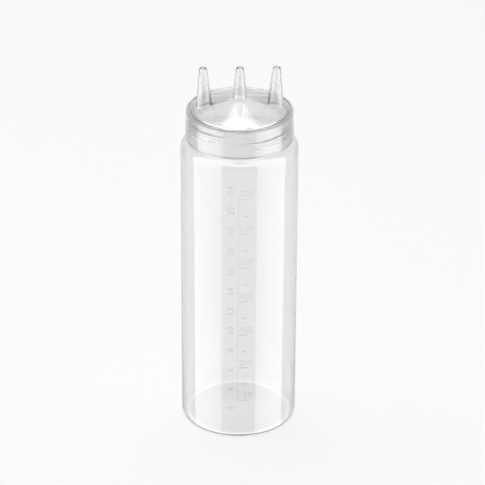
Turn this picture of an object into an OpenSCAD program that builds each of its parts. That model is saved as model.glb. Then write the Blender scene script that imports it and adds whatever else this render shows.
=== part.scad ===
// Clear squeeze bottle for sauces, with a wide screw cap that carries three spouts in a row.
// Millimetres, +Z up. The origin is the middle of the base, and the moulded scale faces -Y.

/* [Body] */
// Outside diameter of the body
body_d = 74.6; // [72:0.1:90]
// Height of the straight wall, up to where the shoulder starts to turn in
straight_h = 191.2; // [120:0.1:260]
// Radius of the rounded shoulder
shoulder_r = 7.3; // [6.8:0.1:9]
// Wall thickness of the body
body_wall = 1; // [0.7:0.1:1.6]
// Radius of the corner between base and wall
base_corner = 3.2; // [2:0.1:6]
// Radius of the corner inside the bottle, between floor and wall
inside_corner = 1; // [0.5:0.1:2]
// How far the middle of the base is pushed up, so that the bottle stands on a ring
base_rise = 2.4; // [1:0.1:5]
// Thickness of the base
base_wall = 1.6; // [1:0.1:3]
// Width of the flat ring that the bottle stands on
stand_w = 2; // [1:0.1:4]

/* [Neck] */
// Outside diameter of the neck between the threads
neck_d = 60.1; // [59:0.1:61]
// Wall thickness of the neck
neck_wall = 1.3; // [0.9:0.1:2]
// Height of the neck, from the top of the shoulder to the lip
neck_h = 16.4; // [15:0.1:20]
// Outside diameter over the thread
thread_d = 62.5; // [62:0.1:62.8]
// Rise of the thread in one turn, six turns to the inch
thread_pitch = 4.233; // [4:0.001:4.5]
// How far round the bottle's thread runs, in degrees
thread_sweep = 392; // [340:1:400]
// Where the bottle's thread starts, in degrees left of the front
thread_start = 10; // [0:1:60]
// Height of the thread's start above the top of the shoulder
thread_lift = 8.3; // [7:0.1:9]

/* [Cap] */
// Outside diameter of the cap at the top of its skirt
cap_top_d = 67.2; // [66:0.1:68]
// Outside diameter of the cap at the bottom of its skirt
cap_foot_d = 68.6; // [67:0.1:70]
// Height of the skirt
skirt_h = 18.8; // [18:0.1:19.2]
// Inside diameter of the skirt
skirt_bore = 63.3; // [63.1:0.1:63.9]
// Rise of the domed top for each millimetre towards its middle
dome_slope = 0.285; // [0.2:0.005:0.35]
// Thickness of the domed top
dome_wall = 1.5; // [1:0.1:2]
// Height of the bead round the edge of the top
rim_bead = 0.35; // [0.2:0.05:0.6]
// How far round the cap's own thread runs, in degrees
cap_thread_sweep = 330; // [200:1:335]
// How far the row of spouts stands turned from the front when the cap is tight, in degrees
row_turn = 2.5; // [-45:0.5:45]

/* [Spouts] */
// Number of spouts in the row
spouts = 3; // [1:2:3]
// Distance between the tips of two spouts
spout_space = 23; // [18:0.1:24]
// Height of the tips above the base of the bottle
spout_top = 246.2; // [238:0.1:255]
// Outside diameter of a spout at its tip
tip_d = 4.5; // [4:0.1:6]
// Growth of a spout's radius for each millimetre below its tip
spout_flare = 0.122; // [0.08:0.001:0.13]
// Outward lean of the two end spouts, in degrees
spout_lean = 2; // [0:0.5:3]
// Diameter of the hole in a tip
orifice_d = 2.2; // [1:0.1:2.6]
// Width of the round-topped rib that joins the spouts
rib_w = 4; // [2:0.1:6]
// Height of the rib's top above the point of the dome
rib_rise = 1.4; // [0.5:0.1:4]

/* [Seal ring] */
// Thickness of the flat seal ring between the neck's lip and the cap
seal_t = 1.2; // [0.8:0.1:1.6]
// Play between the seal ring's edge and the cap's skirt
seal_play = 0.4; // [0.2:0.1:1]

/* [Measuring scale] */
// Volume between two long marks, in millilitres
mark_step = 100; // [50:50:200]
// Volume at the top mark, in millilitres
mark_top = 700; // [300:50:700]
// How far the marks stand proud of the wall
mark_rise = 0.25; // [0.1:0.05:0.5]
// Thickness of a mark
mark_t = 0.6; // [0.4:0.1:1]
// Length of a long mark round the wall
long_mark = 6; // [3:0.5:12]
// Length of a short mark round the wall
short_mark = 3; // [1:0.5:6]

/* [Hidden] */

$fn = 120;
round_fn = 10;
thread_fn = 52;
clear_plastic = [0.93, 0.95, 0.96, 0.45];
milky_plastic = [0.95, 0.95, 0.93, 0.9];
cut = 1;

body_r = body_d / 2;
inside_r = body_r - body_wall;
shoulder_x = body_r - shoulder_r;
shoulder_top = straight_h + shoulder_r;
neck_r = neck_d / 2;
neck_bore_r = neck_r - neck_wall;
lip_z = shoulder_top + neck_h;
lip_round = 0.4;
lip_steps = 4;
floor_z = base_rise + base_wall;
push_up_steps = 8;
level_r = 4;
stand_r = body_r - base_corner;
floor_r = inside_r - inside_corner;

seal_z = lip_z;
seal_slack = 0.02;
seat_z = seal_z + seal_t;
skirt_bore_r = skirt_bore / 2;
rim_round = 0.6;
rim_land = 0.9;
rim_steps = 6;
cap_top_r = cap_top_d / 2;
cap_foot_r = cap_foot_d / 2;
dome_foot_r = cap_top_r - rim_round - rim_land;
rim_z = seat_z + dome_wall;
dome_tip_z = rim_z + dome_foot_r * dome_slope;
skirt_z = rim_z - skirt_h;
seat_r = neck_bore_r;
foot_round = 0.5;
foot_steps = 4;

rib_r = rib_w / 2;
rib_inset = 1;
rib_steps = 12;
spout_len = 28.6;
tip_round = 0.7;
tip_steps = 5;
tip_r = tip_d / 2;
spout_wall_growth = 0.012;

// A thread's section is a ridge that is wide at its root and narrow at its crest.
bottle_root_w = 2.6;
bottle_crest_w = 1.2;
cap_root_w = 2.4;
cap_crest_w = 1;
thread_gap = 0.3;
bite = 0.35;
run_out = 14;
least_depth = 0.05;
cap_thread_lag = 20;
thread_z = shoulder_top + thread_lift;
front = -90;

line_w = 0.5;
line_gap = 0.3;
mark_gap = 2.4;
short_marks = 2;
ml = 1000;

// Points along an arc about (x, y), both ends included
function arc(x, y, r, from, to, steps = round_fn) =
    [for (i = [0:steps]) let (a = from + (to - from) * i / steps) [x + r * cos(a), y + r * sin(a)]];

// Height of the domed top's outside at a distance from the axis
function dome_z(r) = dome_tip_z - r * dome_slope;

// How much of a thread's full depth is left at an angle along it, so that both ends fade out
function fade(a, sweep) = min(1, max(least_depth, min(a, sweep - a) / run_out));

// One section of a thread: its four corners, at an angle along it
function thread_ring(a, sweep, start, z, root_r, crest_r, root_w, crest_w) =
    let (
        depth = fade(a, sweep),
        tip = root_r + (crest_r - root_r) * depth,
        heart = root_r - bite * sign(crest_r - root_r),
        turn = start + a,
        rise = z + thread_pitch * a / 360,
        corners = [[heart, -root_w / 2], [tip, -crest_w / 2], [tip, crest_w / 2], [heart, root_w / 2]]
    )
    [for (c = corners) [c[0] * cos(turn), c[0] * sin(turn), rise + c[1]]];

// A ridge that winds upwards, outwards from root_r to crest_r or inwards where crest_r is smaller
module thread(sweep, start, z, root_r, crest_r, root_w, crest_w) {
    steps = round(thread_fn * sweep / 360);
    rings = [for (i = [0:steps])
        thread_ring(sweep * i / steps, sweep, start, z, root_r, crest_r, root_w, crest_w)];
    points = [for (ring = rings) each ring];
    sides = [for (i = [0:steps - 1], j = [0:3])
        let (a = 4 * i + j, b = 4 * i + (j + 1) % 4) each [[a, a + 4, b], [b, a + 4, b + 4]]];
    last = 4 * steps;
    ends = [[0, 1, 2], [0, 2, 3], [last, last + 2, last + 1], [last, last + 3, last + 2]];
    faces = concat(sides, ends);
    outwards = crest_r > root_r;
    polyhedron(points, outwards ? [for (f = faces) [f[0], f[2], f[1]]] : faces);
}

// The shallow hollow under the base, level in the middle, from the axis out to the flat ring
function push_up() =
    concat([[0, base_rise]], [for (i = [0:push_up_steps]) let (t = i / push_up_steps)
        [level_r + (stand_r - stand_w - level_r) * t, base_rise * (1 + cos(180 * t)) / 2]]);

// The wall of the bottle as one closed outline: up the outside, over the lip and down the inside
module bottle_wall() {
    outer_turn = acos((neck_r - shoulder_x) / shoulder_r);
    inner_turn = acos((neck_bore_r - shoulder_x) / (shoulder_r - body_wall));
    outside = concat(
        push_up(),
        arc(stand_r, base_corner, base_corner, -90, 0),
        arc(shoulder_x, straight_h, shoulder_r, 0, outer_turn),
        arc(neck_r - lip_round, lip_z - lip_round, lip_round, 0, 90, lip_steps)
    );
    inside = concat(
        arc(neck_bore_r + lip_round, lip_z - lip_round, lip_round, 90, 180, lip_steps),
        arc(shoulder_x, straight_h, shoulder_r - body_wall, inner_turn, 0),
        arc(floor_r, base_wall + inside_corner, inside_corner, 0, -90),
        [for (i = [push_up_steps + 1:-1:0]) push_up()[i] + [0, base_wall]]
    );
    rotate_extrude() polygon(concat(outside, inside));
}

// Height at which the bottle holds a volume, from the straight part of its inside
function fill_z(volume) = floor_z + volume * ml / (PI * inside_r * inside_r);

// A raised mark round the front of the wall: its height, its length and how far right it starts
module mark(z, length, offset = 0) {
    per_degree = PI * body_r / 180;
    rotate([0, 0, front + offset / per_degree])
        rotate_extrude(angle = length / per_degree)
            translate([body_r - bite, z - mark_t / 2])
                square([bite + mark_rise, mark_t]);
}

// The measuring scale moulded on the front: an upright line with long and short marks
module scale_marks() {
    low = fill_z(mark_step);
    high = fill_z(mark_top);
    translate([-line_w - line_gap, -body_r - mark_rise, low - mark_t / 2])
        cube([line_w, mark_rise + bite, high - low + mark_t]);
    for (volume = [mark_step:mark_step:mark_top])
        mark(fill_z(volume), long_mark);
    for (volume = [mark_step * (1 + 1 / short_marks):mark_step:mark_top])
        mark(fill_z(volume), short_mark, mark_gap);
}

// The blow-moulded body with its threaded neck and its moulded scale
module bottle() color(clear_plastic) {
    bottle_wall();
    thread(thread_sweep, front - thread_start, thread_z, neck_r, thread_d / 2,
        bottle_root_w, bottle_crest_w);
    scale_marks();
}

// The flat ring that rides under the cap's top and seals on the neck's lip
module seal_ring() color(milky_plastic) {
    translate([0, 0, seal_z])
        difference() {
            cylinder(h = seal_t - seal_slack, r = skirt_bore_r - seal_play);
            translate([0, 0, -cut]) cylinder(h = seal_t + 2 * cut, r = neck_bore_r + lip_round);
        }
}

// The outside of the cap's skirt and domed top, still solid
module cap_outside() {
    rotate_extrude() polygon(concat(
        [[0, skirt_z]],
        arc(cap_foot_r - foot_round, skirt_z + foot_round, foot_round, -90, 0, foot_steps),
        arc(cap_top_r - rim_round, rim_z + rim_bead - rim_round, rim_round, 0, 90, rim_steps),
        [[dome_foot_r + rim_bead, rim_z + rim_bead], [dome_foot_r, rim_z], [0, dome_tip_z]]
    ));
}

// The space under the cap: the bore for the neck, the seat for the seal ring and the hollow dome
module cap_inside() {
    rotate_extrude() polygon([
        [0, skirt_z - cut],
        [skirt_bore_r, skirt_z - cut],
        [skirt_bore_r, seat_z],
        [seat_r, seat_z],
        [seat_r, dome_z(seat_r) - dome_wall],
        [0, dome_tip_z - dome_wall]
    ]);
}

// One spout from its rounded tip downwards, upright at the origin with its tip at z = 0
module spout() {
    foot_r = tip_r + spout_len * spout_flare;
    rotate_extrude() polygon(concat(
        [[0, -spout_len], [foot_r, -spout_len]],
        arc(tip_r - tip_round, -tip_round, tip_round, 0, 90, tip_steps),
        [[0, 0]]
    ));
}

// The channel of one spout, narrowest at its tip
module spout_bore() {
    bore_flare = spout_flare - spout_wall_growth;
    length = spout_len + 2 * cut;
    translate([0, 0, cut - length])
        cylinder(h = length, r1 = orifice_d / 2 + length * bore_flare, r2 = orifice_d / 2);
}

// Puts what is given at every spout's place in the row
module spout_row() {
    middle = (spouts - 1) / 2;
    for (i = [0:spouts - 1])
        translate([(i - middle) * spout_space, 0, spout_top])
            rotate([0, sign(i - middle) * spout_lean, 0])
                children();
}

// The rib with a round top that runs straight from the first spout to the last
module rib() {
    half = max(rib_inset, (spouts - 1) / 2 * spout_space - rib_inset);
    top = dome_tip_z + rib_rise - rib_r;
    foot = dome_z(half) - dome_wall;
    translate([-half, 0, 0])
        rotate([90, 0, 90])
            linear_extrude(2 * half)
                polygon(concat([[-rib_r, foot], [rib_r, foot]], arc(0, top, rib_r, 0, 180, rib_steps)));
}

// The moulded screw cap: skirt, domed top, three spouts, their rib and the thread inside
module cap() color(clear_plastic) {
    rotate([0, 0, row_turn])
        difference() {
            union() {
                cap_outside();
                rib();
                spout_row() spout();
            }
            cap_inside();
            spout_row() spout_bore();
        }
    thread(cap_thread_sweep, front - thread_start + cap_thread_lag,
        thread_z + thread_pitch * (cap_thread_lag / 360 - 1 / 2),
        skirt_bore_r, neck_r + thread_gap, cap_root_w, cap_crest_w);
}

bottle();
seal_ring();
cap();
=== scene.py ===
# Clear squeeze bottle with a screw cap and three spouts: surfaces, light and camera.
# Metres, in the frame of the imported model: +Z up, the measuring scale on the -Y side.
import math
import bmesh
import bpy
from mathutils import Matrix, Vector


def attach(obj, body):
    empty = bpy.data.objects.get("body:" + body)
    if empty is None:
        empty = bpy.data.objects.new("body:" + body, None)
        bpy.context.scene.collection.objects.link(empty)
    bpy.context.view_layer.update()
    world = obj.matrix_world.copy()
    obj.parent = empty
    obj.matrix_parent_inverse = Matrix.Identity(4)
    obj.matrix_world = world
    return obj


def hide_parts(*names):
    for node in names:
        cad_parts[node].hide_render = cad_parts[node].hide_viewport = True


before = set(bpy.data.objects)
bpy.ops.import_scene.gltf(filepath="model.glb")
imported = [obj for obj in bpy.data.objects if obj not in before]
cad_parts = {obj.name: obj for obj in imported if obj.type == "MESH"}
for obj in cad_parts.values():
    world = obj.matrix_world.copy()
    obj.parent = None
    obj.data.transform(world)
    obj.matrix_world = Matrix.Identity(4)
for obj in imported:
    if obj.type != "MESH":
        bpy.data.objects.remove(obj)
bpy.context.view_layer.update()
mm = 0.001
front = -math.pi / 2


# Small tools for meshes
meshLimits = dict(merge=0.002, thin=0.001, sharpFrom=38)    # two in millimetres, one in degrees


def meshObject(name, points, faces, material):
    mesh = bpy.data.meshes.new(name)
    mesh.from_pydata([tuple(p) for p in points], [], faces)
    mesh.materials.append(material)
    piece = bpy.data.objects.new(name, mesh)
    bpy.context.scene.collection.objects.link(piece)
    return piece


def finishMesh(piece, sharpFrom=meshLimits["sharpFrom"]):
    work = bmesh.new()
    work.from_mesh(piece.data)
    bmesh.ops.remove_doubles(work, verts=work.verts, dist=meshLimits["merge"] * mm)
    bmesh.ops.dissolve_degenerate(work, edges=work.edges, dist=meshLimits["thin"] * mm)
    bmesh.ops.recalc_face_normals(work, faces=work.faces)
    work.to_mesh(piece.data)
    work.free()
    piece.data.shade_smooth()
    piece.data.set_sharp_from_angle(angle=math.radians(sharpFrom))


def arc(x, y, r, start, end, steps):
    turns = [math.radians(start + (end - start) * i / steps) for i in range(steps + 1)]
    return [(x + r * math.cos(t), y + r * math.sin(t)) for t in turns]


def straight(a, b, steps):
    # points after a, up to and with b
    return [(a[0] + (b[0] - a[0]) * i / steps, a[1] + (b[1] - a[1]) * i / steps)
            for i in range(1, steps + 1)]


def lathe(name, outline, turns, material, shape=None):
    # outline is a closed loop of (r, z) in millimetres
    # shape(r, z, angle, index) gives a point's radius, where it isn't the outline's
    points, rings = [], []
    for index, (r, z) in enumerate(outline):
        if r < 1e-6:
            rings.append([len(points)] * turns)
            points.append((0, 0, z * mm))
            continue
        rings.append(list(range(len(points), len(points) + turns)))
        for k in range(turns):
            angle = 2 * math.pi * k / turns
            rr = shape(r, z, angle, index) if shape else r
            points.append((rr * mm * math.cos(angle), rr * mm * math.sin(angle), z * mm))
    faces = []
    for i in range(len(outline)):
        low, high = rings[i], rings[(i + 1) % len(outline)]
        for k in range(turns):
            n = (k + 1) % turns
            corners = [low[k], low[n], high[n], high[k]]
            face = [c for j, c in enumerate(corners) if c != corners[j - 1]]
            if len(face) > 2:
                faces.append(face)
    return meshObject(name, points, faces, material)


def combine(piece, other, operation):
    # joins or cuts two closed meshes, and leaves one plain mesh
    change = piece.modifiers.new("combine", "BOOLEAN")
    change.operation = operation
    change.solver = "MANIFOLD"
    change.object = other
    depsgraph = bpy.context.evaluated_depsgraph_get()
    result = bpy.data.meshes.new_from_object(piece.evaluated_get(depsgraph))
    piece.modifiers.remove(change)
    old = piece.data
    piece.data = result
    result.name = old.name
    bpy.data.meshes.remove(old)
    bpy.data.objects.remove(other)


# Clear plastic: a little colour where it is thick, fine moulding texture and slow waves in the surface

def node(tree, kind, at=(0, 0), **settings):
    made = tree.nodes.new(kind)
    made.location = at
    for key, value in settings.items():
        setattr(made, key, value)
    return made


def clearPlastic(name, look):
    material = bpy.data.materials.new(name)
    material.use_nodes = True
    tree = material.node_tree
    tree.nodes.clear()
    out = node(tree, "ShaderNodeOutputMaterial", (900, 0))
    surface = node(tree, "ShaderNodeBsdfPrincipled", (600, 0))
    tree.links.new(surface.outputs["BSDF"], out.inputs["Surface"])
    surface.inputs["IOR"].default_value = look["ior"]
    surface.inputs["Transmission Weight"].default_value = look["clear"]
    surface.inputs["Coat Weight"].default_value = look["coat"]
    surface.inputs["Coat Roughness"].default_value = look["coatRoughness"]
    surface.inputs["Coat IOR"].default_value = look["ior"]

    place = node(tree, "ShaderNodeTexCoord", (-900, 0))
    streaks = node(tree, "ShaderNodeMapping", (-700, 200))
    streaks.inputs["Scale"].default_value = (1, 1, look["streakShare"])
    tree.links.new(place.outputs["Object"], streaks.inputs["Vector"])

    clouds = node(tree, "ShaderNodeTexNoise", (-500, 250))
    clouds.inputs["Scale"].default_value = look["cloudScale"]
    clouds.inputs["Detail"].default_value = look["cloudDetail"]
    tree.links.new(streaks.outputs["Vector"], clouds.inputs["Vector"])
    tint = node(tree, "ShaderNodeMix", (-200, 250), data_type="RGBA")
    tint.inputs["A"].default_value = (*look["colour"], 1)
    tint.inputs["B"].default_value = (*look["cloud"], 1)
    tree.links.new(clouds.outputs["Fac"], tint.inputs["Factor"])
    tree.links.new(tint.outputs["Result"], surface.inputs["Base Color"])

    haze = node(tree, "ShaderNodeMapRange", (-200, 0))
    haze.inputs["From Min"].default_value = look["hazeFrom"][0]
    haze.inputs["From Max"].default_value = look["hazeFrom"][1]
    haze.inputs["To Min"].default_value = look["roughness"][0]
    haze.inputs["To Max"].default_value = look["roughness"][1]
    tree.links.new(clouds.outputs["Fac"], haze.inputs["Value"])
    tree.links.new(haze.outputs["Result"], surface.inputs["Roughness"])

    grain = node(tree, "ShaderNodeTexNoise", (-500, -250))
    grain.inputs["Scale"].default_value = look["grainScale"]
    grain.inputs["Detail"].default_value = look["grainDetail"]
    tree.links.new(place.outputs["Object"], grain.inputs["Vector"])
    waves = node(tree, "ShaderNodeTexNoise", (-500, -500))
    waves.inputs["Scale"].default_value = look["waveScale"]
    waves.inputs["Detail"].default_value = look["waveDetail"]
    tree.links.new(streaks.outputs["Vector"], waves.inputs["Vector"])
    coarse = node(tree, "ShaderNodeBump", (0, -450))
    coarse.inputs["Strength"].default_value = look["waveDepth"]
    coarse.inputs["Distance"].default_value = look["waveHeight"] * mm
    tree.links.new(waves.outputs["Fac"], coarse.inputs["Height"])
    fine = node(tree, "ShaderNodeBump", (250, -300))
    fine.inputs["Strength"].default_value = look["grainDepth"]
    fine.inputs["Distance"].default_value = look["grainHeight"] * mm
    tree.links.new(grain.outputs["Fac"], fine.inputs["Height"])
    tree.links.new(coarse.outputs["Normal"], fine.inputs["Normal"])
    tree.links.new(fine.outputs["Normal"], surface.inputs["Normal"])
    tree.links.new(coarse.outputs["Normal"], surface.inputs["Coat Normal"])
    return material


bodyLook = dict(
    colour=(0.975, 0.978, 0.98), cloud=(0.955, 0.958, 0.96), clear=0.94, ior=1.5,
    roughness=(0.04, 0.08), hazeFrom=(0.3, 0.7), coat=0.5, coatRoughness=0.04,
    cloudScale=30, cloudDetail=3, streakShare=0.25,
    grainScale=900, grainDetail=2, grainDepth=0.04, grainHeight=0.1,
    waveScale=60, waveDetail=1, waveDepth=0.015, waveHeight=1)
capLook = dict(
    bodyLook, colour=(0.993, 0.994, 0.995), cloud=(0.983, 0.985, 0.987), clear=0.95, ior=1.46,
    roughness=(0.15, 0.2), coat=1, coatRoughness=0.06, streakShare=1, cloudScale=50, waveScale=90)
sealLook = dict(
    bodyLook, colour=(0.99, 0.99, 0.99), cloud=(0.98, 0.98, 0.98), clear=0.97, ior=1.35,
    roughness=(0.2, 0.3), coat=0, streakShare=1)
markLook = dict(                                 # bends light less, as the marks are one with the wall
    bodyLook, colour=(0.97, 0.973, 0.975), cloud=(0.95, 0.953, 0.956), ior=1.32,
    roughness=(0.05, 0.1), coat=0.3)
bodyPlastic = clearPlastic("bodyPlastic", bodyLook)
capPlastic = clearPlastic("capPlastic", capLook)
sealPlastic = clearPlastic("sealPlastic", sealLook)
markPlastic = clearPlastic("markPlastic", markLook)
print("materials made")


# Bottle: a thin blown shell with a threaded neck. Sizes in millimetres.
bottleSizes = dict(
    bodyD=74.6, straightH=191.2, shoulderR=7.3, wall=1.0, corner=3.2, insideCorner=1.0, rise=2.4,
    baseWall=1.6, standW=2.0, levelR=4.0, neckD=60.1, neckWall=1.3, neckH=16.4, neckFoot=0.4,
    lipRound=0.4, turns=360, pushSteps=12, cornerSteps=12, shoulderSteps=14, neckRows=70,
    lipSteps=4, insideSteps=12, insideCornerSteps=8)
threadSizes = dict(
    crestD=62.5, pitch=4.233, sweep=392, startLeft=10, lift=8.3, rootW=2.6, crestW=1.2, runOut=14)
body = bottleSizes
thread = threadSizes
bodyR = body["bodyD"] / 2
insideR = bodyR - body["wall"]
shoulderX = bodyR - body["shoulderR"]
shoulderTop = body["straightH"] + body["shoulderR"]
neckR = body["neckD"] / 2
neckBoreR = neckR - body["neckWall"]
lipZ = shoulderTop + body["neckH"]
standR = bodyR - body["corner"]
floorR = insideR - body["insideCorner"]
floorZ = body["rise"] + body["baseWall"]
threadZ = shoulderTop + thread["lift"]
threadStart = math.degrees(front) - thread["startLeft"]


def ridge(z, angle, start, sweep, low, rootW, crestW, depth):
    # how far a winding ridge stands out at a height and angle: full depth on its crest, none past its root
    best = 0
    along = (math.degrees(angle) - start) % 360
    while along <= sweep:
        fade = min(1, max(0, min(along, sweep - along) / thread["runOut"]))
        away = abs(z - (low + thread["pitch"] * along / 360))
        share = (rootW / 2 - away) / ((rootW - crestW) / 2)
        share = min(1, max(0, share))
        share = share * share * (3 - 2 * share)
        best = max(best, depth * share * math.sin(fade * math.pi / 2))
        along += 360
    return best


def pushUp():
    # the underside of the base, from its middle to the ring that it stands on
    points = [(0, body["rise"]), (body["levelR"], body["rise"])]
    for i in range(1, body["pushSteps"] + 1):
        share = i / body["pushSteps"]
        points.append((body["levelR"] + (standR - body["standW"] - body["levelR"]) * share,
                       body["rise"] * (1 + math.cos(math.pi * share)) / 2))
    return points


def bottleOutline():
    outerTurn = math.degrees(math.acos((neckR - shoulderX) / body["shoulderR"]))
    shoulderInsideR = body["shoulderR"] - body["wall"]
    innerTurn = math.degrees(math.acos((neckBoreR - shoulderX) / shoulderInsideR))
    corner, lip, wallTop = body["insideCorner"], body["lipRound"], body["straightH"]
    outside = pushUp()
    outside += arc(standR, body["corner"], body["corner"], -90, 0, body["cornerSteps"])
    outside.append((bodyR, wallTop))
    outside += arc(shoulderX, wallTop, body["shoulderR"], 0, outerTurn, body["shoulderSteps"])[1:]
    neckStart = len(outside)
    outside += straight(outside[-1], (neckR, lipZ - lip), body["neckRows"])
    neckEnd = len(outside)
    outside += arc(neckR - lip, lipZ - lip, lip, 0, 90, body["lipSteps"])[1:]
    inside = arc(neckBoreR + lip, lipZ - lip, lip, 90, 180, body["lipSteps"])
    neckFoot = (neckBoreR, shoulderTop - body["wall"] + body["neckFoot"])
    inside += straight(inside[-1], neckFoot, body["insideSteps"])
    inside += arc(shoulderX, wallTop, shoulderInsideR, innerTurn, 0, body["insideSteps"])
    inside.append((insideR, body["baseWall"] + corner))
    inside += arc(floorR, body["baseWall"] + corner, corner, 0, -90, body["insideCornerSteps"])[1:]
    inside += [(r, z + body["baseWall"]) for r, z in reversed(pushUp())]
    return outside + inside, neckStart, neckEnd


def makeBottle():
    outline, neckStart, neckEnd = bottleOutline()

    def shape(r, z, angle, index):
        if neckStart <= index < neckEnd:
            r += ridge(z, angle, threadStart, thread["sweep"], threadZ, thread["rootW"], thread["crestW"],
                       thread["crestD"] / 2 - neckR)
        return r

    piece = lathe("bottleShell", outline, body["turns"], bodyPlastic, shape)
    finishMesh(piece)
    return piece


bottleShell = makeBottle()
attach(bottleShell, "bottle")
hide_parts("bottle")
print("bottle made")


# Measuring scale: raised marks round the wall, and plain numbers beside them
scaleSizes = dict(
    step=100, top=700, low=100, markT=0.6, rise=0.16, sink=0.08, longMark=6, shortMark=3, shortStart=2.4,
    barPoints=14, lineW=0.5, lineGap=0.3, ounce=29.5735, ounceStep=2, ounceTop=24,
    fontShare=1.38, fontSteps=3, numberRise=0.8, mlSize=4.1, mlStart=0.4, mlLift=1.7,
    ounceSize=4.6, ounceMiddle=-4.9, ounceLift=3.6)
scale = scaleSizes


def fillZ(ml):
    return floorZ + ml * 1000 / (math.pi * insideR * insideR)


def markTree():
    # a column of bars, each bent round the wall
    tree = bpy.data.node_groups.new("scaleMarks", "GeometryNodeTree")
    face = tree.interface
    face.new_socket("Geometry", in_out="OUTPUT", socket_type="NodeSocketGeometry")
    sockets = {}
    for name, kind in (("Count", "NodeSocketInt"), ("First Height", "NodeSocketFloat"),
                       ("Step", "NodeSocketFloat"), ("Length", "NodeSocketFloat"),
                       ("Start", "NodeSocketFloat"), ("Thickness", "NodeSocketFloat"),
                       ("Depth", "NodeSocketFloat"), ("Radius", "NodeSocketFloat"),
                       ("Material", "NodeSocketMaterial")):
        sockets[name] = face.new_socket(name, in_out="INPUT", socket_type=kind).identifier
    given = node(tree, "NodeGroupInput", (-1200, 0))
    out = node(tree, "NodeGroupOutput", (1200, 0))

    def maths(operation, a, b=None, at=(0, 0)):
        made = node(tree, "ShaderNodeMath", at, operation=operation)
        for i, value in enumerate((a, b)):
            if value is None:
                continue
            if isinstance(value, (int, float)):
                made.inputs[i].default_value = value
            else:
                tree.links.new(value, made.inputs[i])
        return made.outputs[0]

    def triple(x, y, z, at=(0, 0)):
        made = node(tree, "ShaderNodeCombineXYZ", at)
        for i, value in enumerate((x, y, z)):
            if value is not None:
                tree.links.new(value, made.inputs[i])
        return made.outputs[0]

    bar = node(tree, "GeometryNodeMeshCube", (-800, 300))
    bar.inputs["Vertices X"].default_value = scale["barPoints"]
    tree.links.new(triple(given.outputs["Length"], given.outputs["Depth"], given.outputs["Thickness"],
                          (-1000, 300)), bar.inputs["Size"])
    column = node(tree, "GeometryNodeMeshLine", (-800, 0))
    tree.links.new(given.outputs["Count"], column.inputs["Count"])
    middle = maths("MULTIPLY_ADD", given.outputs["Length"], 0.5, (-1000, -200))
    tree.links.new(given.outputs["Start"], middle.node.inputs[2])
    tree.links.new(triple(middle, None, given.outputs["First Height"], (-1000, 0)),
                   column.inputs["Start Location"])
    tree.links.new(triple(None, None, given.outputs["Step"], (-1000, -100)), column.inputs["Offset"])
    copies = node(tree, "GeometryNodeInstanceOnPoints", (-600, 100))
    tree.links.new(column.outputs["Mesh"], copies.inputs["Points"])
    tree.links.new(bar.outputs["Mesh"], copies.inputs["Instance"])
    real = node(tree, "GeometryNodeRealizeInstances", (-400, 100))
    tree.links.new(copies.outputs["Instances"], real.inputs["Geometry"])

    here = node(tree, "GeometryNodeInputPosition", (-700, -300))
    parts = node(tree, "ShaderNodeSeparateXYZ", (-500, -300))
    tree.links.new(here.outputs["Position"], parts.inputs[0])
    radius = given.outputs["Radius"]
    angle = maths("DIVIDE", parts.outputs["X"], radius, (-300, -300))
    reach = maths("SUBTRACT", radius, parts.outputs["Y"], (-300, -450))
    x = maths("MULTIPLY", reach, maths("SINE", angle, None, (-100, -300)), (100, -300))
    y = maths("MULTIPLY", reach, maths("COSINE", angle, None, (-100, -450)), (100, -450))
    y = maths("MULTIPLY", y, -1, (300, -450))
    bent = node(tree, "GeometryNodeSetPosition", (500, 0))
    tree.links.new(real.outputs["Geometry"], bent.inputs["Geometry"])
    tree.links.new(triple(x, y, parts.outputs["Z"], (300, -300)), bent.inputs["Position"])
    paint = node(tree, "GeometryNodeSetMaterial", (800, 0))
    tree.links.new(bent.outputs["Geometry"], paint.inputs["Geometry"])
    tree.links.new(given.outputs["Material"], paint.inputs["Material"])
    tree.links.new(paint.outputs["Geometry"], out.inputs["Geometry"])
    return tree, sockets


def treeMesh(name, tree, values):
    # runs a tree once and keeps its result as a plain mesh
    holder = bpy.data.objects.new(name, bpy.data.meshes.new(name))
    bpy.context.scene.collection.objects.link(holder)
    run = holder.modifiers.new("tree", "NODES")
    run.node_group = tree
    for identifier, value in values.items():
        run[identifier] = value
    depsgraph = bpy.context.evaluated_depsgraph_get()
    mesh = bpy.data.meshes.new_from_object(holder.evaluated_get(depsgraph))
    holder.modifiers.remove(run)
    holder.data = mesh
    return holder


def makeMarks():
    tree, sockets = markTree()
    depth = (scale["rise"] + scale["sink"]) * mm
    middle = (bodyR + (scale["rise"] - scale["sink"]) / 2) * mm
    spacing = (fillZ(scale["step"]) - fillZ(0)) * mm
    top, low = fillZ(scale["top"]), fillZ(scale["low"])
    rows = int(scale["top"] / scale["step"])
    first, halfway = fillZ(scale["step"]) * mm, fillZ(1.5 * scale["step"]) * mm
    lineStart = -scale["lineW"] - scale["lineGap"]
    columns = (("longMarks", rows, first, spacing, scale["longMark"], 0, scale["markT"]),
               ("shortMarks", rows - 1, halfway, spacing, scale["shortMark"], scale["shortStart"],
                scale["markT"]),
               ("scaleLine", 1, (top + low) / 2 * mm, spacing, scale["lineW"], lineStart,
                top - low + scale["markT"]))
    made = []
    for name, count, first, step, length, start, thick in columns:
        values = {"Count": count, "First Height": first, "Step": step, "Length": length * mm,
                  "Start": start * mm, "Thickness": thick * mm, "Depth": depth, "Radius": middle,
                  "Material": markPlastic}
        made.append(treeMesh(name, tree, {sockets[key]: value for key, value in values.items()}))
    for piece in made:
        finishMesh(piece)
    return made


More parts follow.
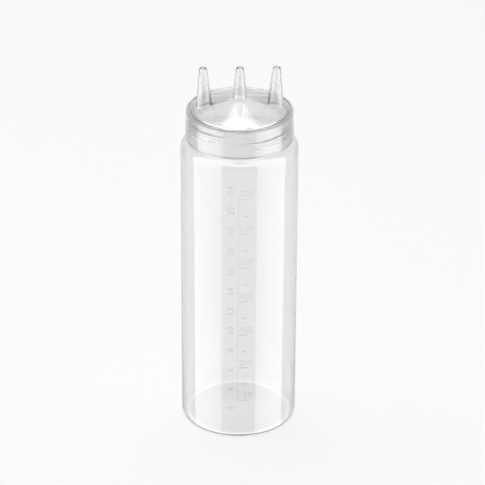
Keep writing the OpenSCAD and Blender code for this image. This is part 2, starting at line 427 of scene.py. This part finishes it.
def numberMesh(text, size, x, z, turned, centred):
    # one number, set flat, then wrapped round the wall
    curve = bpy.data.curves.new("number" + text, "FONT")
    curve.body = text
    curve.size = size * scale["fontShare"] * mm
    curve.extrude = (scale["rise"] * scale["numberRise"] + scale["sink"]) / 2 * mm
    curve.align_x = "CENTER" if centred else "LEFT"
    curve.align_y = "CENTER" if turned else "BOTTOM_BASELINE"
    curve.resolution_u = scale["fontSteps"]
    holder = bpy.data.objects.new("number" + text, curve)
    bpy.context.scene.collection.objects.link(holder)
    depsgraph = bpy.context.evaluated_depsgraph_get()
    mesh = bpy.data.meshes.new_from_object(holder.evaluated_get(depsgraph))
    bpy.data.objects.remove(holder)
    turn = Matrix.Rotation(math.pi / 2 if turned else 0, 4, "Z")
    mesh.transform(Matrix.Translation((x * mm, z * mm, 0)) @ turn)
    middle = (bodyR + (scale["rise"] * scale["numberRise"] - scale["sink"]) / 2) * mm
    for vertex in mesh.vertices:
        flat = vertex.co.copy()
        reach, angle = middle + flat.z, flat.x / middle
        vertex.co = (reach * math.sin(angle), -reach * math.cos(angle), flat.y)
    return mesh


def makeNumbers():
    work = bmesh.new()
    for ml in range(scale["step"], scale["top"] + 1, scale["step"]):
        z = fillZ(ml) + scale["mlLift"]
        mesh = numberMesh(str(ml), scale["mlSize"], scale["mlStart"], z, False, False)
        work.from_mesh(mesh)
        bpy.data.meshes.remove(mesh)
    for ounces in range(scale["ounceStep"], scale["ounceTop"] + 1, scale["ounceStep"]):
        z = fillZ(ounces * scale["ounce"]) + scale["ounceLift"]
        mesh = numberMesh(str(ounces), scale["ounceSize"], scale["ounceMiddle"], z, True, True)
        work.from_mesh(mesh)
        bpy.data.meshes.remove(mesh)
    mesh = bpy.data.meshes.new("scaleNumbers")
    work.to_mesh(mesh)
    work.free()
    mesh.materials.append(markPlastic)
    piece = bpy.data.objects.new("scaleNumbers", mesh)
    bpy.context.scene.collection.objects.link(piece)
    finishMesh(piece)
    return piece


scalePieces = makeMarks() + [makeNumbers()]
for piece in scalePieces:
    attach(piece, "bottle")
print("scale made")


# Seal ring: a flat ring with rounded edges, under the cap's top
sealSizes = dict(thickness=1.2, slack=0.04, play=0.4, edge=0.3, edgeSteps=4, turns=180, sharpFrom=60)


def makeSeal(boreR):
    ring = sealSizes
    e, steps = ring["edge"], ring["edgeSteps"]
    inner, outer = neckBoreR + body["lipRound"] + e, boreR - ring["play"] - e
    low, high = lipZ + ring["slack"] + e, lipZ + ring["thickness"] - ring["slack"] - e
    outline = arc(outer, low, e, -90, 0, steps) + arc(outer, high, e, 0, 90, steps)
    outline += arc(inner, high, e, 90, 180, steps) + arc(inner, low, e, 180, 270, steps)
    piece = lathe("sealRing", outline, ring["turns"], sealPlastic)
    finishMesh(piece, ring["sharpFrom"])
    return piece


# Cap: skirt, dome, rib and spouts are one moulding, with the thread inside the skirt
capSizes = dict(
    topD=67.2, footD=68.6, skirtH=18.8, bore=63.3, slope=0.285, domeWall=1.5, bead=0.35, rimRound=0.6,
    rimLand=0.9, footRound=0.5, footSteps=5, rimSteps=7, skirtRows=12, domeRows=16, tipR=2, tipDrop=0.3,
    threadSweep=330, threadLag=20, threadGap=0.3, rootW=2.4, crestW=1.0, threadRows=60, threadFoot=0.2,
    seatEdge=0.6, seatRound=0.5, seatSteps=4, hollowTipR=1, hollowRows=10, below=2,
    rowTurn=2.5, turns=240, sharpFrom=30)
spoutSizes = dict(
    count=3, space=23, top=246.2, tipD=4.5, flare=0.122, lean=2, orifice=2.2, length=28.6, rows=14,
    tipRound=0.7, tipFrom=6, tipSteps=7, boreGrowth=0.11, boreRows=12, boreBelow=1, boreTop=-0.25,
    mouth=((0.1, -0.1), (0.25, 0.02), (0.4, 1)), turns=72)
ribSizes = dict(width=4, rise=1.4, inset=1, foot=0.5, steps=16, stations=12)
capSize = capSizes
spout = spoutSizes
boreR = capSize["bore"] / 2
seatZ = lipZ + sealSizes["thickness"]
rimZ = seatZ + capSize["domeWall"]
skirtZ = rimZ - capSize["skirtH"]
capTopR = capSize["topD"] / 2
capFootR = capSize["footD"] / 2
domeFootR = capTopR - capSize["rimRound"] - capSize["rimLand"]
domeTipZ = rimZ + domeFootR * capSize["slope"]

sealRing = makeSeal(boreR)
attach(sealRing, "seal_ring")
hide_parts("seal_ring")


def domeZ(r):
    return domeTipZ - r * capSize["slope"]


def capOutside():
    foot, rim = capSize["footRound"], capSize["rimRound"]
    rimTop = rimZ + capSize["bead"]
    outline = [(0, skirtZ)] + arc(capFootR - foot, skirtZ + foot, foot, -90, 0, capSize["footSteps"])
    outline += straight(outline[-1], (capTopR, rimTop - rim), capSize["skirtRows"])
    outline += arc(capTopR - rim, rimTop - rim, rim, 0, 90, capSize["rimSteps"])[1:]
    outline += [(domeFootR + capSize["bead"], rimTop), (domeFootR, rimZ)]
    outline += straight((domeFootR, rimZ), (capSize["tipR"], domeZ(capSize["tipR"])), capSize["domeRows"])
    outline += [(0, domeTipZ - capSize["tipDrop"])]
    return lathe("capShell", outline, capSize["turns"], capPlastic)


def capInside():
    start = threadStart + capSize["threadLag"]
    low = threadZ + thread["pitch"] * (capSize["threadLag"] / 360 - 0.5)
    depth = boreR - neckR - capSize["threadGap"]
    tip, seat = capSize["hollowTipR"], capSize["seatRound"]
    below = skirtZ - capSize["below"]
    outline = [(0, below), (boreR, below), (boreR, skirtZ + capSize["threadFoot"])]
    wallStart = len(outline)
    outline += straight(outline[-1], (boreR, seatZ - capSize["seatEdge"]), capSize["threadRows"])
    wallEnd = len(outline)
    outline += arc(boreR - seat, seatZ - seat, seat, 0, 90, capSize["seatSteps"])
    outline += [(neckBoreR, seatZ), (neckBoreR, domeZ(neckBoreR) - capSize["domeWall"])]
    outline += straight(outline[-1], (tip, domeZ(tip) - capSize["domeWall"]), capSize["hollowRows"])
    outline += [(0, domeZ(tip) - capSize["domeWall"])]

    def shape(r, z, angle, index):
        if wallStart <= index < wallEnd:
            r -= ridge(z, angle, start, capSize["threadSweep"], low, capSize["rootW"],
                       capSize["crestW"], depth)
        return r

    return lathe("capHollow", outline, capSize["turns"], capPlastic, shape)


def spoutPlace(index):
    middle = (spout["count"] - 1) / 2
    lean = math.radians(spout["lean"]) * ((index > middle) - (index < middle))
    turn = Matrix.Rotation(math.radians(capSize["rowTurn"]), 4, "Z")
    at = Matrix.Translation(((index - middle) * spout["space"] * mm, 0, spout["top"] * mm))
    return turn @ at @ Matrix.Rotation(lean, 4, "Y")


def spoutBody(index):
    tipR, e = spout["tipD"] / 2, spout["tipRound"]
    outline = [(0, -spout["length"]), (tipR + spout["length"] * spout["flare"], -spout["length"])]
    outline += straight(outline[-1], (tipR + e * spout["flare"], -e), spout["rows"])
    outline += arc(tipR - e, -e, e, spout["tipFrom"], 90, spout["tipSteps"])[1:] + [(0, 0)]
    piece = lathe("spout" + str(index), outline, spout["turns"], capPlastic)
    piece.data.transform(spoutPlace(index))
    return piece


def spoutBore(index):
    low = -spout["length"] - spout["boreBelow"]
    tip = spout["orifice"] / 2
    foot = tip + (spout["boreBelow"] - low) * spout["boreGrowth"]
    outline = [(0, low), (foot, low)] + straight((foot, low), (tip, spout["boreTop"]), spout["boreRows"])
    outline += [(tip + r, z) for r, z in spout["mouth"]] + [(0, spout["mouth"][-1][1])]
    piece = lathe("bore" + str(index), outline, spout["turns"], capPlastic)
    piece.data.transform(spoutPlace(index))
    return piece


def makeRib():
    rib = ribSizes
    half = (spout["count"] - 1) / 2 * spout["space"] - rib["inset"]
    r = rib["width"] / 2
    top = domeTipZ + rib["rise"] - r
    foot, side = domeZ(half) - capSize["domeWall"], top - rib["foot"]
    section = [(-r, foot), (r, foot), (r, side)] + arc(0, top, r, 0, 180, rib["steps"]) + [(-r, side)]
    stations = [-half + 2 * half * i / rib["stations"] for i in range(rib["stations"] + 1)]
    points = [(x * mm, y * mm, z * mm) for x in stations for y, z in section]
    n = len(section)
    faces = [[i * n + j, i * n + (j + 1) % n, (i + 1) * n + (j + 1) % n, (i + 1) * n + j]
             for i in range(len(stations) - 1) for j in range(n)]
    faces += [list(range(n))[::-1], [(len(stations) - 1) * n + j for j in range(n)]]
    piece = meshObject("rib", points, faces, capPlastic)
    piece.data.transform(Matrix.Rotation(math.radians(capSize["rowTurn"]), 4, "Z"))
    return piece


def makeCap():
    cap = capOutside()
    solids = [makeRib()] + [spoutBody(i) for i in range(spout["count"])]
    cuts = [capInside()] + [spoutBore(i) for i in range(spout["count"])]
    for piece in [cap] + solids + cuts:
        finishMesh(piece)
    for piece in solids:
        combine(cap, piece, "UNION")
    for piece in cuts:
        combine(cap, piece, "DIFFERENCE")
    finishMesh(cap, capSize["sharpFrom"])
    return cap


capShell = makeCap()
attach(capShell, "cap")
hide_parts("cap")
print("cap made,", len(capShell.data.polygons), "faces")


# Floor: pale, with its own glow so that it stays near white round the object
# upright walls would mirror nothing but the floor, so it is left out of mirrored light
floorLook = dict(reach=3.0, colour=(0.8, 0.8, 0.8), glow=0.565)


def makeFloor():
    r = floorLook["reach"]
    material = bpy.data.materials.new("paleFloor")
    material.use_nodes = True
    surface = material.node_tree.nodes["Principled BSDF"]
    surface.inputs["Base Color"].default_value = (*floorLook["colour"], 1)
    surface.inputs["Roughness"].default_value = 1
    surface.inputs["Specular IOR Level"].default_value = 0
    surface.inputs["Emission Color"].default_value = (1, 1, 1, 1)
    surface.inputs["Emission Strength"].default_value = floorLook["glow"]
    piece = meshObject("floor", [(-r, -r, 0), (r, -r, 0), (r, r, 0), (-r, r, 0)], [[0, 1, 2, 3]], material)
    piece.visible_glossy = False


# Studio: the plastic mirrors a ring of soft panels, given by compass angle from the front and by height
# each edge of a panel is where it starts and where it has risen or fallen, in degrees
studioLook = dict(
    ambient=0.44, backdrop=1.0, dim=0.46, gap=0.85, side=3.2, frontTop=3.0, backTop=3.8,
    sideFrom=(33, 35.5), sideNear=0.75, sideSpread=(36, 62), sideTo=(98, 101), backdropFrom=(132, 142),
    under=0.9, underTo=(-72, -60),
    frontTopLow=(33, 38), frontTopHigh=(60, 68), frontTopTo=(62, 78),
    backTopFrom=(125, 140), backTopLow=(52, 54.5), backTopHigh=(76, 84))


def makeStudio():
    look = studioLook
    world = bpy.data.worlds.new("studio")
    bpy.context.scene.world = world
    world.use_nodes = True
    tree = world.node_tree
    tree.nodes.clear()
    out = node(tree, "ShaderNodeOutputWorld", (1600, 0))
    way = node(tree, "ShaderNodeTexCoord", (-1000, 0))
    parts = node(tree, "ShaderNodeSeparateXYZ", (-800, 0))
    tree.links.new(way.outputs["Generated"], parts.inputs[0])

    def maths(operation, a, b=0.0):
        made = node(tree, "ShaderNodeMath", operation=operation)
        for i, value in enumerate((a, b)):
            if isinstance(value, (int, float)):
                made.inputs[i].default_value = value
            else:
                tree.links.new(value, made.inputs[i])
        return made.outputs[0]

    def rising(value, edges):
        made = node(tree, "ShaderNodeMapRange", interpolation_type="SMOOTHSTEP")
        tree.links.new(value, made.inputs["Value"])
        made.inputs["From Min"].default_value = math.radians(edges[0])
        made.inputs["From Max"].default_value = math.radians(edges[1])
        return made.outputs["Result"]

    def falling(value, edges):
        return maths("SUBTRACT", 1.0, rising(value, edges))

    x, y, z = parts.outputs
    compass = maths("ABSOLUTE", maths("ARCTAN2", x, maths("MULTIPLY", y, -1.0)))
    height = maths("ARCSINE", z)
    room = node(tree, "ShaderNodeMix", data_type="FLOAT")
    tree.links.new(rising(compass, look["sideTo"]), room.inputs["Factor"])
    room.inputs["A"].default_value = look["dim"]
    room.inputs["B"].default_value = look["gap"]

    def panel(strength, *edges):
        shown = strength
        for edge in edges:
            shown = maths("MULTIPLY", edge, shown)
        return shown

    spread = maths("ADD", maths("MULTIPLY", rising(compass, look["sideSpread"]), 1 - look["sideNear"]),
                   look["sideNear"])
    side = panel(look["side"], spread, rising(compass, look["sideFrom"]), falling(compass, look["sideTo"]))
    back = panel(look["backdrop"], rising(compass, look["backdropFrom"]))
    under = panel(look["under"], falling(height, look["underTo"]))
    frontTop = panel(look["frontTop"], falling(compass, look["frontTopTo"]),
                     rising(height, look["frontTopLow"]), falling(height, look["frontTopHigh"]))
    backTop = panel(look["backTop"], rising(compass, look["backTopFrom"]),
                    rising(height, look["backTopLow"]), falling(height, look["backTopHigh"]))
    mirrored = room.outputs["Result"]
    for light in (side, back, under, frontTop, backTop):
        mirrored = maths("MAXIMUM", mirrored, light)

    ray = node(tree, "ShaderNodeLightPath", (400, 400))
    plain = ray.outputs["Is Camera Ray"]
    seen = maths("MAXIMUM", ray.outputs["Is Glossy Ray"], ray.outputs["Is Transmission Ray"])
    lit = node(tree, "ShaderNodeMix", data_type="FLOAT")
    tree.links.new(seen, lit.inputs["Factor"])
    lit.inputs["A"].default_value = look["ambient"]
    tree.links.new(mirrored, lit.inputs["B"])
    shown = node(tree, "ShaderNodeMix", data_type="FLOAT")
    tree.links.new(plain, shown.inputs["Factor"])
    tree.links.new(lit.outputs["Result"], shown.inputs["A"])
    shown.inputs["B"].default_value = look["backdrop"]
    glow = node(tree, "ShaderNodeBackground", (1400, 0))
    tree.links.new(shown.outputs["Result"], glow.inputs["Strength"])
    tree.links.new(glow.outputs["Background"], out.inputs["Surface"])


lampLook = dict(power=4.3, size=1.2, at=(-0.15, 0.2, 1.6), aim=(0, 0, 0))


def makeLamp():
    look = lampLook
    lamp = bpy.data.lights.new("softLampTop", "AREA")
    lamp.energy = look["power"]
    lamp.size = look["size"]
    holder = bpy.data.objects.new("softLampTop", lamp)
    bpy.context.scene.collection.objects.link(holder)
    holder.location = look["at"]
    holder.rotation_euler = (Vector(look["aim"]) - Vector(look["at"])).to_track_quat("-Z", "Y").to_euler()
    holder.visible_glossy = False


# Camera: a long lens from in front and above. Pixel sizes are those of a 485 x 485 picture.
cameraLook = dict(
    focalPixels=2765, picturePixels=485, sensor=36, distance=1.7738, pitch=27.4, aimHeight=0.1236,
    sideways=0.00215, roll=0.3)


def makeCamera():
    look = cameraLook
    data = bpy.data.cameras.new("camera")
    data.sensor_width = look["sensor"]
    data.lens = look["focalPixels"] / look["picturePixels"] * data.sensor_width
    camera = bpy.data.objects.new("camera", data)
    bpy.context.scene.collection.objects.link(camera)
    pitch = math.radians(look["pitch"])
    aim = Vector((look["sideways"], 0, look["aimHeight"]))
    camera.location = aim + look["distance"] * Vector((0, -math.cos(pitch), math.sin(pitch)))
    looking = (aim - camera.location).to_track_quat("-Z", "Y").to_matrix().to_4x4()
    turn = looking @ Matrix.Rotation(math.radians(look["roll"]), 4, "Z")
    camera.rotation_euler = turn.to_euler()
    bpy.context.scene.camera = camera


makeFloor()
makeStudio()
makeLamp()
makeCamera()
bpy.context.scene.view_settings.view_transform = "Standard"
print("stage made")
